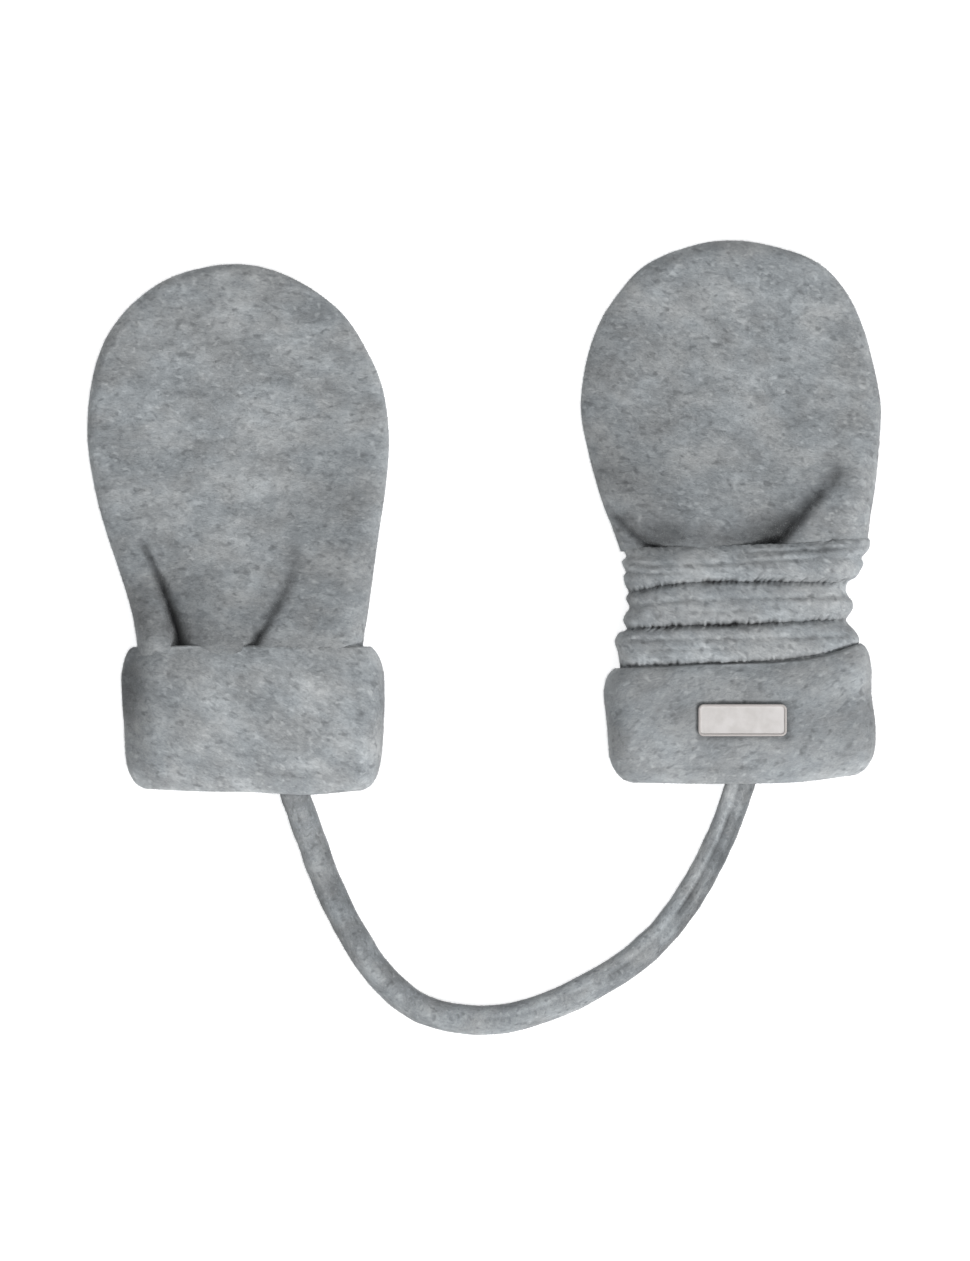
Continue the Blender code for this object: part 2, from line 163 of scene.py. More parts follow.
def addMesh(name, bm, material):
    mesh = bpy.data.meshes.new(name)
    bm.to_mesh(mesh)
    bm.free()
    mesh.materials.append(material)
    return addObject(name, mesh)


def finishPiece(name, bm, material, nodes=()):
    piece = addMesh(name, bm, material)
    piece.data.shade_smooth()
    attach(piece, "root")
    if nodes:
        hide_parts(*nodes)
    return piece


fuzz = {
    "long": (0.35, 0.9),  # length of the hairs
    "thick": 0.05,
    "lift": (0.3, 1.2),  # how far one stands up for each 1 along the cloth
    "sides": 9,  # how much thicker it grows where the cloth turns down
    "spread": 0.6,  # how far from its face's middle one may stand
    "sunk": 0.03,
    # least height of a tip, and the start and length of the way that has to be free
    "clear": (0.05, 0.1, 8),
}


def addFuzz(piece, count, seed, material=None):
    # fine short hairs over a cloth's outer face, thickest round its outline
    draw = np.random.default_rng(seed)
    bm = bmesh.new()
    bm.from_mesh(piece.data)
    solid = BVHTree.FromBMesh(bm)
    centre = np.array([face.calc_center_median() for face in bm.faces]) / mm
    normal = np.array([face.normal for face in bm.faces])
    area = np.array([face.calc_area() for face in bm.faces]) / mm**2
    bm.free()
    weight = area * (1 + fuzz["sides"] * (1 - np.abs(normal[:, 2])) ** 2)
    picked = draw.choice(len(area), 2 * count, p=weight / weight.sum())
    out = normal[picked]

    def drawn(low, high):
        return draw.uniform(low, high, (len(out), 1))

    def beside():
        return unit(np.cross(draw.normal(size=out.shape), out))

    spread = np.sqrt(area[picked])[:, None] * drawn(-fuzz["spread"], fuzz["spread"])
    root = centre[picked] + beside() * spread - fuzz["sunk"] * out
    way = unit(beside() + out * drawn(*fuzz["lift"]))
    long = drawn(*fuzz["long"])
    lowest, start, far = fuzz["clear"]
    free = [
        place[2] + reach[2] > lowest
        and solid.ray_cast((place + start * up) * mm, up, far * mm)[0] is None
        for place, reach, up in zip(root, way * long, out)
    ]
    root, way, long = [part[free][:count] for part in (root, way, long)]
    first = unit(np.cross(way, (0.3, 0.5, 0.81)))
    second = np.cross(way, first)

    # one hair, doubled until there are enough, each then moved to its own place
    bm = bmesh.new()
    bmesh.ops.create_cone(bm, cap_ends=True, segments=3, radius1=0.5, radius2=0, depth=1)
    bmesh.ops.translate(bm, vec=(0, 0, 0.5), verts=bm.verts)
    hair = bpy.data.meshes.new("hair")
    bm.to_mesh(hair)
    bm.clear()
    bm.from_mesh(hair)  # in its order, so that each copy keeps it
    bpy.data.meshes.remove(hair)
    shape = np.array([vert.co for vert in bm.verts])
    faceCount = len(bm.faces)
    made = 1
    while made < len(root):
        more = min(made, len(root) - made)
        bm.verts.ensure_lookup_table()
        bm.faces.ensure_lookup_table()
        taken = bm.verts[:more * len(shape)]
        faces = bm.faces[:more * faceCount]
        edges = list(dict.fromkeys(edge for face in faces for edge in face.edges))
        bmesh.ops.duplicate(bm, geom=taken + edges + faces)
        made += more
    wide = shape[:, 0, None] * first[:, None] + shape[:, 1, None] * second[:, None]
    place = root[:, None] + fuzz["thick"] * wide + shape[:, 2, None] * (way * long)[:, None]
    for vert, spot in zip(bm.verts, place.reshape(-1, 3) * mm):
        vert.co = spot
    bmesh.ops.recalc_face_normals(bm, faces=bm.faces)
    name = piece.name.replace("Cloth", "").replace("Tube", "") + "Fuzz"
    return finishPiece(name, bm, material or piece.data.materials[0], ())


def fill(tree, node, values):
    # links a socket, and sets any other value
    for key, value in values.items():
        if isinstance(value, bpy.types.NodeSocket):
            tree.links.new(value, node.inputs[key])
        else:
            node.inputs[key].default_value = value
    return node


def addNode(tree, kind, inputs=None, **settings):
    node = tree.nodes.new("ShaderNode" + kind)
    for key, value in settings.items():
        setattr(node, key, value)
    return fill(tree, node, inputs or {})


def sums(tree, operation, first, second):
    node = addNode(tree, "Math", {0: first, 1: second}, operation=operation)
    return node.outputs[0]


def between(tree, value, low, high, toLow=0, toHigh=1):
    ranged = {"Value": value, "From Min": low, "From Max": high,
              "To Min": toLow, "To Max": toHigh}
    return addNode(tree, "MapRange", ranged).outputs[0]


def mixColour(tree, share, first, second, way="MIX"):
    mixed = addNode(tree, "Mix", {0: share, 6: first, 7: second},
                    data_type="RGBA", blend_type=way)
    return mixed.outputs[2]


def mapped(tree, source, offset, turn, scale):
    # a pattern moved, turned by so many degrees and scaled
    values = {"Vector": source, "Location": offset,
              "Rotation": (0, 0, math.radians(turn)), "Scale": scale}
    return addNode(tree, "Mapping", values).outputs[0]


def newMaterial(name):
    material = bpy.data.materials.new(name)
    material.use_nodes = True
    return material, material.node_tree, material.node_tree.nodes["Principled BSDF"]


melange = {
    "dark": (0.135, 0.142, 0.147, 1),
    "middle": (0.295, 0.308, 0.317, 1),
    "light": (0.52, 0.535, 0.54, 1),
    "cool": (0.968, 0.997, 1.018, 1),
    "warm": (1.002, 1.001, 0.998, 1),
    "fibre": (0.75, 1.8, 1.8),  # how many fibres to a millimetre, along and across
    "turns": (0, 62, -55),  # the ways the fibres lie, in degrees
    "shares": (0.4, 0.31, 0.29),  # and how many lie each way
    # each cloud: where it starts, its scale, detail, roughness, distortion and turn
    "clumps": ((40, 9, 2), (0.3, 0.48, 0.5), 3, 0.6, 0.4),
    "patches": ((7, 70, 5), (0.06, 0.11, 0.12), 2, 0.5),
    "hues": ((90, 30, 1), (0.075, 0.1, 0.1), 3, 0.55),
    "darkFlecks": ((3, 55, 8), (0.44, 0.66, 0.6), 1, 0.4, 0.3, -24),
    "lightFlecks": ((61, 5, 28), (0.5, 0.75, 0.7), 1, 0.4, 0.3, 30),
    # where each kind of fleck starts and is full, and how strong it is then
    "deep": (0.42, 0.24, 0, 0.62),
    "pale": (0.6, 0.78, 0, 0.5),
    "strengths": (1.35, 0.72, 0.95),  # of the fibres, the clumps and the patches
    # near black, mixed in by painted shade and by one real speck of dark thread
    "paintedShadeAndSpeck": (0.008, 0.009, 0.01, 1),
    "rough": (0.98, 0.86),  # between the fibres and on them
    "nap": (0.75, 0.5),  # strength and height of the bump
    "surface": {"Specular IOR Level": 0.25, "Sheen Weight": 0.18, "Sheen Roughness": 0.6},
}


def melangeGroup():
    # brushed fleece of mixed fibres: its colour and how far the nap stands up
    tree = bpy.data.node_groups.new("melangeFleece", "ShaderNodeTree")
    for name, way, kind in (("Vector", "INPUT", "Vector"), ("Contrast", "INPUT", "Float"),
                            ("Color", "OUTPUT", "Color"), ("Height", "OUTPUT", "Float")):
        tree.interface.new_socket(name, in_out=way, socket_type=f"NodeSocket{kind}")
    given = tree.nodes.new("NodeGroupInput").outputs

    def cloud(offset, scale, detail, rough, twist=0, turn=0):
        found = addNode(tree, "TexNoise", {
            "Vector": mapped(tree, given["Vector"], offset, turn, scale), "Scale": 1,
            "Detail": detail, "Roughness": rough, "Distortion": twist})
        return found.outputs["Fac"]

    def times(first, second):
        return sums(tree, "MULTIPLY", first, second)

    fibres = 0.0
    for number, (turn, share) in enumerate(zip(melange["turns"], melange["shares"])):
        offset = (number * 13.7, number * 5.1, number * 3.3)
        some = cloud(offset, melange["fibre"], 3, 0.6, 1.2, turn)
        fibres = sums(tree, "ADD", fibres, times(some, share))
    clumps, patches, hues, darkFlecks, lightFlecks = [
        cloud(*melange[name])
        for name in ("clumps", "patches", "hues", "darkFlecks", "lightFlecks")
    ]

    # every layer stands round one half, so that their sum does too
    tone = 0.0
    for layer, strength in zip((fibres, clumps, patches), melange["strengths"]):
        part = times(sums(tree, "SUBTRACT", layer, 0.5), strength)
        tone = sums(tree, "ADD", tone, part)
    tone = times(tone, given["Contrast"])

    colour = melange["middle"]
    for share, other in (
        (between(tree, tone, 0, -0.5), melange["dark"]),
        (between(tree, tone, 0, 0.5), melange["light"]),
        (between(tree, lightFlecks, *melange["pale"]), melange["light"]),
        (between(tree, darkFlecks, *melange["deep"]), melange["dark"]),
    ):
        colour = mixColour(tree, share, colour, other)
    tint = mixColour(tree, between(tree, hues, 0.38, 0.62), melange["warm"], melange["cool"])
    colour = mixColour(tree, 1, colour, tint, "MULTIPLY")
    height = sums(tree, "ADD", times(fibres, 0.7), times(clumps, 0.5))
    result = tree.nodes.new("NodeGroupOutput")
    fill(tree, result, {"Color": colour, "Height": height})
    return tree


melangeFleece = melangeGroup()


def fleece(name, turn, offset, contrast, brightness, byUv=None):
    # the pieces differ in how their nap lies, and a little in tone
    material, tree, shader = newMaterial(name)
    source = tree.nodes.new("ShaderNodeTexCoord").outputs["UV" if byUv else "Object"]
    laid = mapped(tree, source, offset, turn, byUv or (1 / mm,) * 3)
    mixed = addNode(tree, "Group", {"Vector": laid, "Contrast": contrast},
                    node_tree=melangeFleece).outputs
    # the attribute holds painted shade (in pleats, valleys, dips, along rims and round the
    # label) and one real thread speck, and darkens the colour towards near black
    paintedShadeAndSpeck = addNode(tree, "Attribute", attribute_name="paintedShadeAndSpeck").outputs["Fac"]
    tone = (brightness, brightness, brightness, 1)
    colour = mixColour(tree, 1, mixed["Color"], tone, "MULTIPLY")
    colour = mixColour(tree, paintedShadeAndSpeck, colour, melange["paintedShadeAndSpeck"])
    rough = between(tree, mixed["Height"], 0.3, 0.9, *melange["rough"])
    strength, tall = melange["nap"]
    nap = addNode(tree, "Bump", {
        "Height": mixed["Height"], "Strength": strength, "Distance": tall * mm})
    fill(tree, shader, melange["surface"])
    fill(tree, shader, {"Base Color": colour, "Roughness": rough, "Normal": nap.outputs[0]})
    return material


# how many degrees the nap is turned by, where its pattern starts, contrast, brightness
handFleeceLeft = fleece("handFleeceLeft", 7, (5, 3, 0), 0.9, 1.145)
handFleeceRight = fleece("handFleeceRight", 14, (31, 57, 11), 0.9, 1.095)
wristFleece = fleece("wristFleece", 25, (64, 12, 23), 0.9, 1.14)
cuffFleeceLeft = fleece("cuffFleeceLeft", 21, (5, 91, 37), 0.95, 1.18)
cuffFleeceRight = fleece("cuffFleeceRight", -17, (83, 21, 59), 0.7, 1.09)
print("finishes done")


# a folded tube of the same fleece, from mouth to mouth
cord = {
    "route": [
        (-53.6, -66.8, 7.8), (-51.8, -72, 7.9), (-50.2, -77.2, 7.5), (-47.9, -83.8, 5),
        (-45.4, -90.8, 2.8), (-42.6, -98.3, 2.2), (-39.3, -105.6, 2.2), (-34.6, -114.2, 2.2),
        (-28.4, -123.4, 2.2), (-18, -132.2, 2.2), (-6.5, -135.6, 2.2), (4.6, -135.6, 2.2),
        (15.6, -132.8, 2.2), (27, -127.8, 2.2), (38.6, -120.8, 2.2), (47.6, -112.8, 2.2),
        (54.8, -103.6, 2.2), (60, -94.8, 2.2), (63.9, -86.6, 3.1), (66.8, -79, 5.6),
        (68.6, -73.6, 7.6), (70, -69.2, 7.9), (71.6, -64.2, 7.8),
    ],
    "width": 7.8,
    "thick": 4.4,
    "exit": (-50.9, -74.8, 7.7),  # where it leaves the left cuff
    "step": 0.7,
    "round": 48,
    "square": 3,  # 2 is an oval, and more is boxier
    "seamPlaces": (0.12, 0.05, -0.1, 0, 0.02, 0.02, 0.02),
    "seamDepths": (0.45, 0.4, 0.4, 0.45, 0.8, 1, 0.9),
    "seamWidth": 0.5,
    "broken": (9, 0.8, 0.4),  # how the seam's depth comes and goes
    "lumps": 0.07,
    # the middle of the band left free of painted shade, how wide it is, and how dark the
    # painted shade is beside it, outside and inside
    "band": (0.06, 0.08, 0.12, 0.02, -0.06, -0.08, -0.08),
    "bandHalf": (0, 0, 0.1, 0.25, 0.35, 0.3, 0.3),
    "outerShade": (0.5, 0.5, 0.4, 0.16, 0.46, 0.8, 0.8),
    "innerShade": (0.46, 0.46, 0.42, 0.4, 0.34, 0.24, 0.24),
    "darkest": 0.6,
    "nap": (90, (11, 3, 47)),
    "fibres": 1.6,  # how many pattern steps to a millimetre
    "roundShare": 0.86,  # its girth for each 1 of a box round it
    "hairs": 6000,
}


def cordPath():
    line = smoothLine(cord["route"], 24)
    passed = np.concatenate([[0], np.cumsum(np.linalg.norm(np.diff(line, axis=0), axis=1))])
    count = int(passed[-1] / cord["step"])
    even = np.linspace(0, passed[-1], count + 1)
    path = np.column_stack([np.interp(even, passed, axis) for axis in line.T])
    path[:, 2] = np.maximum(path[:, 2], cord["thick"] / 2)
    return path, even


def makeCord():
    path, passed = cordPath()
    along = unit(np.gradient(path, axis=0))
    side = unit(np.cross(along, (0, 0, 1)))
    up = np.cross(side, along)

    share = (passed / passed[-1])[:, None]
    angle = np.linspace(0, 2 * np.pi, cord["round"] + 1)[None, :]
    cos, sin = np.cos(angle), np.sin(angle)
    power = 2 / cord["square"]
    acrossTube, upTube = [np.sign(way) * np.abs(way) ** power for way in (cos, sin)]
    place = path[:, None] + side[:, None] * (acrossTube * cord["width"] / 2)[..., None]
    place = place + up[:, None] * (upTube * cord["thick"] / 2)[..., None]

    # the seam's groove wanders along the top, deeper in places
    seamAt = smoothValue(cord["seamPlaces"], share) * cord["width"]
    size, level, change = cord["broken"]
    broken = level + change * waves(place, size, 5)
    groove = bell(acrossTube * cord["width"] / 2 - seamAt, cord["seamWidth"]) * (upTube > 0)
    depth = smoothValue(cord["seamDepths"], share) * np.clip(broken, 0.1, 1.4)
    outward = side[:, None] * cos[..., None] + up[:, None] * sin[..., None]
    lumps = cord["lumps"] * (waves(place, 5, 6) + waves(place, 14, 7))
    place = place + outward * lumps[..., None]
    place[..., 2] -= groove * depth
    place[..., 2] = np.maximum(place[..., 2], 0.03)
    place[:, -1] = place[:, 0]

    # painted shade darkens both sides, leaving a paler band along the top
    off = acrossTube - 2 * smoothValue(cord["band"], share)
    start, outer, inner = [
        smoothValue(cord[key], share) for key in ("bandHalf", "outerShade", "innerShade")
    ]
    most = np.where(off > 0, outer, inner)
    shade = np.clip((np.abs(off) - start) / (1.05 - start), 0, 1)
    shade = (0.2 * (1 - 2 * start) + 0.8 * shade) * most * (1 + 0.15 * waves(place, 6, 8))
    # painted shade in the seam's groove and along both sides
    dark = np.clip(groove * depth * 0.6 + shade, 0, cord["darkest"])
    bm = clothGrid(place, {"paintedShadeAndSpeck": dark})
    bmesh.ops.holes_fill(bm, edges=[e for e in bm.edges if e.is_boundary], sides=0)
    bmesh.ops.recalc_face_normals(bm, faces=bm.faces)
    long = passed[-1]
    around = 2 * (cord["width"] + cord["thick"]) * cord["roundShare"]
    byUv = (cord["fibres"] * around, cord["fibres"] * long, 1)
    material = fleece("cordFleece", *cord["nap"], 0.9, 1.18, byUv)
    piece = finishPiece("cordTube", bm, material, ["cord"])
    hairMaterial = fleece("cordFuzzFleece", *cord["nap"], 0.95, 1.08)
    hairs = addFuzz(piece, cord["hairs"], 9, hairMaterial)
    print("cord length", round(float(long), 1))


makeCord()
print("cord done")


# each hand is a back and a palm
leftHand = {
    # left x, left y, right x, right y, under, seam, crown, edge
    "rows": [
        (-93, -40.9, -32, -40.9, 2.8, 7.8, 13.3, 6),
        (-93.4, -35, -32.7, -35, 2.8, 7.8, 13.7, 7),
        (-95, -25.7, -31.3, -25.7, 1, 6.4, 11.8, 9),
        (-98, -15.9, -30, -15.9, 0, 4.8, 9.6, 9),
        (-102.2, -3.5, -28.3, -3.5, 0, 3.6, 7.6, 7),
        (-105.4, 8.8, -26.5, 8.8, 0, 2.9, 6.2, 5),
        (-107.2, 22.1, -25.7, 22.1, 0, 2.6, 5.7, 4),
        (-106.2, 35.5, -27.6, 35.5, 0, 2.6, 5.6, 4),
        (-103.1, 46.4, -32.4, 46.4, 0, 2.6, 5.6, 4),
        (-98, 54.5, -37.8, 54.5, 0, 2.6, 5.6, 4),
        (-92, 60.3, -44.5, 60.3, 0, 2.6, 5.5, 4),
        (-86.1, 64.1, -50.8, 64.1, 0, 2.6, 5.5, 4),
        (-80.2, 66.4, -56, 66.4, 0, 2.6, 5.5, 4),
        (-73.8, 67.9, -61.3, 67.9, 0, 2.6, 5.5, 4),
    ],
    # points of a pleat's line, its depth and how late it deepens, the width of its
    # bottom at both ends and of the lip beside it, how much of it is a soft slope,
    # how wide that is and the side it lies on, how dark the painted shade in its
    # bottom gets and how late, and how dark and wide the painted shade beside it is
    "pleats": [
        {"line": (-92.6, -6.2, -86, -21.2, -82, -34), "deep": 4.9, "growth": 0.6,
         "core": (0.9, 2), "lip": 1.4, "slope": (0.28, 4.6), "side": 1,
         "dark": (1.1, 0.34), "shade": (0.42, 4, 11)},
        {"line": (-50.8, -6.7, -53, -17.5, -57, -25.7, -61.8, -34.2), "deep": 1.7,
         "growth": 1.1, "core": (1.9, 1.2), "lip": 2, "slope": (0.2, 3), "side": 1,
         "dark": (0.68, 0.85), "shade": (0.4, 6, 3)},
    ],
    # x, y, half length, half width, turned by, and how dark the painted shade is there
    "shades": [
        (-72, -30, 18, 9, 0, 0.1), (-84.8, -20, 7, 8, 0, 0.12), (-94, -30, 5, 9, 0, 0.34),
        (-97, -20, 14, 4, 104, 0.12), (-66, -18, 40, 20, 0, 0.06),
        (-51.6, -8.5, 6.5, 1.5, 82, 0.16), (-41, 12, 52, 11, 90, 0.21),
        (-31.5, -6, 14, 4, 90, 0.12), (-27.9, -2, 35, 2.2, 84, 0.15),
        (-31.5, 44, 12, 2.4, 118, 0.12), (-67.5, 63, 16, 6.5, 0, 0.16),
    ],
    # x, y, half length, half width, turned by, depth
    "dents": [
        (-84, 24, 16, 9, 20, 0.25), (-44, 5, 18, 7, 70, 0.3), (-96, 2, 15, 4, 68, 0.3),
    ],
    "hem": -34.6,  # where the cuff's hem crosses it
    # the hollow along the wrist: its depth at even steps across, and its reach
    "hollow": ((0, 0.1, 0.15, 0.15, 0.1, 0.05, 0), 5),
    "edgeShare": (0.8, 0.9),  # how round the left and the right side are
    "facet": (0, 7),  # drop of the slope along the left side, and width
    # width, length and area of each panel's cut
    "cut": {"back": (87, 113.5, 8470), "palm": (87, 113, 8360)},
    "seed": 21,
    "material": handFleeceLeft,
}
rightHand = {
    "rows": [
        (36.9, -9.3, 103.3, -8.2, 0, 6.2, 9.7, 7),
        (34.8, -3.2, 104.2, 0, 0, 5.8, 12, 9),
        (32, 4, 105.4, 7, 0, 4.8, 11, 10),
        (28.6, 16, 106.6, 18, 0, 3.4, 7.8, 7),
        (26.2, 29, 107.2, 30, 0, 2.7, 6, 4.5),
        (27.6, 41.8, 105, 42.2, 0, 2.6, 5.6, 4),
        (31.2, 52.5, 101.9, 52.7, 0, 2.6, 5.6, 4),
        (36.4, 60.6, 97.9, 60.8, 0, 2.6, 5.6, 4),
        (42, 66.9, 92.6, 67, 0, 2.6, 5.5, 4),
        (48.2, 70.6, 86.6, 70.6, 0, 2.6, 5.5, 4),
        (54.3, 72.8, 79.8, 72.8, 0, 2.6, 5.5, 4),
        (60, 74.3, 73.2, 74.3, 0, 2.6, 5.5, 4),
    ],
    "pleats": [
        {"line": (33.4, 4, 39.6, -3.6, 46, -8.4), "deep": 2.8, "growth": 0.6,
         "core": (0.7, 1.2), "lip": 1.6, "slope": (0.5, 5), "side": 1,
         "dark": (0.78, 0.5), "shade": (0.25, 1, 6)},
        {"line": (97.8, 14.5, 87.5, 3.2, 78.2, -7), "deep": 3.6, "growth": 1,
         "core": (2.8, 3.4), "lip": 1.6, "slope": (0.7, 9), "side": -1,
         "dark": (0.66, 0.6), "shade": (0.42, 3, 9)},
    ],
    "shades": [
        (64, -5.6, 24, 4.6, 0, 0.48), (48, -4.6, 9, 5, 10, 0.46), (79, -2, 9, 5, 42, 0.4),
        (91, -4.5, 7, 4, 0, 0.16), (95, 10.5, 8, 3, 50, 0.12), (81.2, -3, 5, 2.6, 42, 0.3),
        (89.5, 5.2, 3.6, 1.6, 45, 0.24), (95.2, 12.8, 2.4, 1.6, 50, 0.22),
        (35, 30, 30, 9, 90, 0.17), (47, 17, 12, 9, 0, 0.16), (39, 13, 9, 8, 60, 0.14),
        (99, 45, 15, 6, 90, 0.17), (105, 14, 25, 2, 84, 0.09), (57, 48, 14, 10, 0, 0.14),
        (67, 71, 17, 4.5, 0, 0.13),
    ],
    "dents": [
        (98.4, 34.3, 4.5, 1.3, -8, 0.55), (60.2, 24, 3, 1.2, 0, 0.4),
        (92, 18, 9, 4, 60, 0.45), (50, 40, 16, 8, 30, 0.3),
    ],
    "hem": None,
    "hollow": ((0.1, 0.9, 0.3, 0.3, 0.6, 0, 0), 4),
    "edgeShare": (1, 0.9),
    "facet": (0.9, 9),
    "cut": {"back": (86.5, 88, 6630), "palm": (86.5, 87.5, 6490)},
    "seed": 33,
    "material": handFleeceRight,
}
hands = {"left": leftHand, "right": rightHand}
handCloth = {
    "wall": 1.4,
    "seamGap": 0.06,  # half the gap at the seam round the rim
    "tuck": 1.8,  # the seam allowance that turns in
    "pillow": 0.3,
    "underEdge": 5,
    "tipEdge": 4,
    "tipBow": 0.5,
    "palmShare": 0.4,  # how much of each pleat shows on the palm
    "uneven": ((34, 0.3), (9, 0.1), (2.2, 0.045)),  # sizes and heights
    "calm": 6,  # and how far in from the rim it is full
    "least": (1.6, 0.9),  # how far in it is this thick at least
    "pucker": (7, 0.12),
    # size and strength of how a pleat's line, its start and its painted shade vary
    "wander": (3, 0.14),
    "late": (6, 0.06),
    "patchy": (4.5, 0.16),
    "darkest": 0.72,
    "pull": 0.62,  # how far the columns move in to the pleats
    "reach": 5,
    "grid": {"back": (150, 200), "palm": (100, 130)},
    "hairs": {"back": 16000, "palm": 3500},
}


def pleatPlace(pleat, x, y):
    # distance from a pleat's line, above 0 where the cloth slopes in, and how much of
    # the line has passed
    line = pleat["line"]
    curve = np.polyfit(line[1::2], line[0::2], len(line) // 2 - 1)
    inside = np.clip(y, line[-1] - 1, line[1])
    steep = np.polyval(np.polyder(curve), inside)
    away = (x - np.polyval(curve, inside)) / np.sqrt(1 + steep**2)
    return away * pleat["side"], (line[1] - y) / (line[1] - line[-1])


def pleatDrawn(pleats, x, y, place, seed):
    # how far the pleats draw the cloth in, and the painted shade in their bottoms and beside
    # them
    drawn = dark = np.zeros_like(x)

    def uneven(name, more):
        size, tall = handCloth[name]
        return tall * waves(place, size, seed + number + more)

    for number, pleat in enumerate(pleats):
        away, run = pleatPlace(pleat, x, y)
        away = away + uneven("wander", 0)
        run = run + uneven("late", 4)
        passed = np.clip(run, 0, 1.1)
        begun = np.clip(run, 0, 1)
        start, end = pleat["core"]
        width = start + (end - start) * passed
        share, slopeWidth = pleat["slope"]
        lip = pleat["lip"]
        core = np.exp(-np.abs(away / np.where(away < 0, lip, width)) ** 1.8)
        slope = np.exp(-np.abs(away / slopeWidth) ** 1.5)
        slope = np.where(away < 0, bell(away, lip), slope)
        form = (1 - share) * core + share * slope
        drawn = drawn + passed ** pleat["growth"] * pleat["deep"] * form
        most, late = pleat["dark"]
        started = begun ** late * (1 + uneven("patchy", 8))
        bottom = np.exp(-np.abs(away / np.where(away < 0, 0.8 * lip, 0.9 * width)) ** 2.2)
        amount, before, after = pleat["shade"]
        shade = amount * begun ** 0.55 * bell(away, np.where(away < 0, before, after))
        # painted shade in the pleat's bottom and beside it
        dark = overlaid(dark, np.clip(most * started, 0, 0.98) * bottom, shade)
    return drawn, dark


def blobs(places, x, y):
    # long soft patches, one on top of the other
    depth = np.zeros_like(x)
    for atX, atY, long, wide, turn, deep in places:
        c, s = math.cos(math.radians(turn)), math.sin(math.radians(turn))
        alongDent = (x - atX) * c + (y - atY) * s
        acrossDent = (y - atY) * c - (x - atX) * s
        depth += deep * bell(alongDent, long) * bell(acrossDent, wide)
    return depth


def edgeDistance(x, y, outline):
    nearest = np.full(x.shape, 1e9)
    for (ax, ay), (bx, by) in zip(outline, outline[1:]):
        stepX, stepY = bx - ax, by - ay
        t = np.clip(((x - ax) * stepX + (y - ay) * stepY) / (stepX**2 + stepY**2 + 1e-12), 0, 1)
        nearest = np.minimum(nearest, np.hypot(x - ax - t * stepX, y - ay - t * stepY))
    return nearest


def handPoints(hand, grid, back):
    columns, rows = grid
    table = smoothLine(hand["rows"], 24)
    middleY = (table[:, 1] + table[:, 3]) / 2
    tip = handCloth["tipEdge"]
    turning = rows // 8
    turn = np.linspace(np.pi / 2, 0, turning + 1)
    run = np.linspace(middleY[-1] - middleY[0], tip, rows - turning, endpoint=False)
    fromTip = np.concatenate([run, tip * (1 - np.cos(turn))])
    height = middleY[-1] - fromTip
    line = [np.interp(height, middleY, column)[:, None] for column in table.T]
    leftX, leftY, rightX, rightY, under, seam, crown, edge = line
    under = np.maximum(under, 0)

    u = across(columns)[None, :]
    half = (rightX - leftX) / 2
    x = leftX + half * (u + 1)
    y = leftY + (rightY - leftY) * (u + 1) / 2
    for pleat in hand["pleats"]:
        away, passed = pleatPlace(pleat, x, y)
        near = bell(away, handCloth["reach"]) * (1 - u**4)
        near = near * np.clip(1 + 4 * passed, 0, 1)
        x = x - handCloth["pull"] * near * away * pleat["side"]
    u = (x - leftX) / half - 1
    y = y + handCloth["tipBow"] * np.exp(-fromTip[:, None]) * (1 - u**2)

    outline = np.vstack([
        np.column_stack([leftX, leftY]),
        np.column_stack([x[-1], y[-1]]),
        np.column_stack([rightX, rightY])[::-1],
    ])
    distance = edgeDistance(x, y, outline)
    flat = np.stack([x, y, 0 * x], axis=-1)
    seed = hand["seed"] + (0 if back else 50)
    drawn, dark = pleatDrawn(hand["pleats"], x, y, flat, seed)
    calm = quarter(distance / handCloth["calm"])
    uneven = waveSum(flat, handCloth["uneven"], seed, 7) * calm
    pucker = waveSum(flat, [handCloth["pucker"]], hand["seed"])
    reach, thick = handCloth["least"]
    least = thick * quarter(distance / reach)

    if back:
        rim = seam + handCloth["seamGap"] + pucker
        drop, wide = hand["facet"]
        drop = drop * softStep(x - leftX, wide)
        full = crown - handCloth["pillow"] * u**2 - drop - rim
        roundness = np.where(u < 0, *hand["edgeShare"])
        z = rim + full * quarter(distance / (edge * roundness))
        seamY = leftY[0] + (rightY[0] - leftY[0]) * (u + 1) / 2
        if hand["hem"] is not None:
            seamY = hand["hem"]
        deep, reach = hand["hollow"]
        hollow = smoothValue(deep, (u + 1) / 2) * bell(np.maximum(y - seamY, 0), reach)
        # painted shade from the listed patches, over the painted shade of the pleats
        dark = overlaid(dark, np.clip(blobs(hand["shades"], x, y), 0, handCloth["darkest"]))
        drawn = drawn + (hollow + blobs(hand["dents"], x, y)) * calm
        z = np.maximum(z - drawn + uneven, rim + least)
    else:
        rim = seam - handCloth["seamGap"] + pucker
        z = rim - (rim - under) * quarter(distance / handCloth["underEdge"])
        lifted = handCloth["palmShare"] * drawn + 0.5 * np.maximum(uneven, 0)
        z = np.minimum(z + lifted + 0.02, rim - least)
        # the palm takes half the painted shade
        dark = dark / 2
    return np.stack([x, y, z], axis=-1), dark


def sortAdded(bm, counts):
    # extruding adds faces in any order, so what came after these counts is put in one
    def place(part):
        verts = [part] if isinstance(part, bmesh.types.BMVert) else part.verts
        return tuple(sum((vert.co for vert in verts), Vector()))

    for parts, count in zip((bm.verts, bm.edges, bm.faces), counts):
        parts.index_update()
        added = sorted((part for part in parts if part.index >= count), key=place)
        for number, part in enumerate(added, count):
            part.index = number
        parts.sort()


